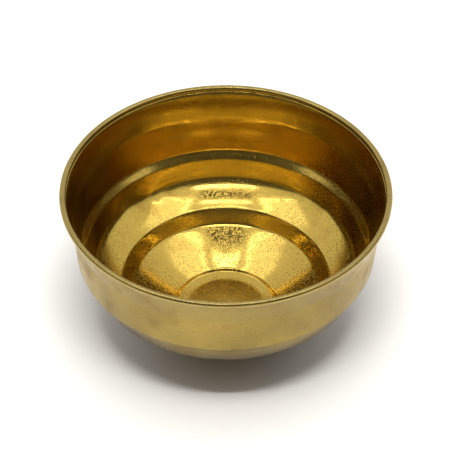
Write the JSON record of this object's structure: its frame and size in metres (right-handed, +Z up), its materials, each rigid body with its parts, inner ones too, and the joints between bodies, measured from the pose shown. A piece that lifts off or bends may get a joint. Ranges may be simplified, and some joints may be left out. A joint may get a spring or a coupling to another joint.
{
  "type": "offering bowl",
  "caption": "Small round brass offering bowl with a flared, wired lip, an upright wall, a stepped floor and a low foot ring.",
  "frame": {"origin": "centre of the circle that the foot ring stands on", "axes": "+Z up along the bowl's turning axis; +X and +Y are across the bowl, which is the same all round"},
  "size_m": [0.0768, 0.0768, 0.0385],
  "materials": {
    "bowl_brass": "spun and polished sheet with worn turning marks and a light tarnish",
    "rim_brass": "smooth drawn wire, worn satin by handling",
    "foot_brass": "turned satin with tarnish",
    "solder_alloy": "dull brazing alloy"
  },
  "bodies": {
    "root": {"bowl_shell": "bowl_brass", "rim_wire": "rim_brass", "foot_ring": "foot_brass", "foot_solder": "solder_alloy"}
  },
  "joints": []
}
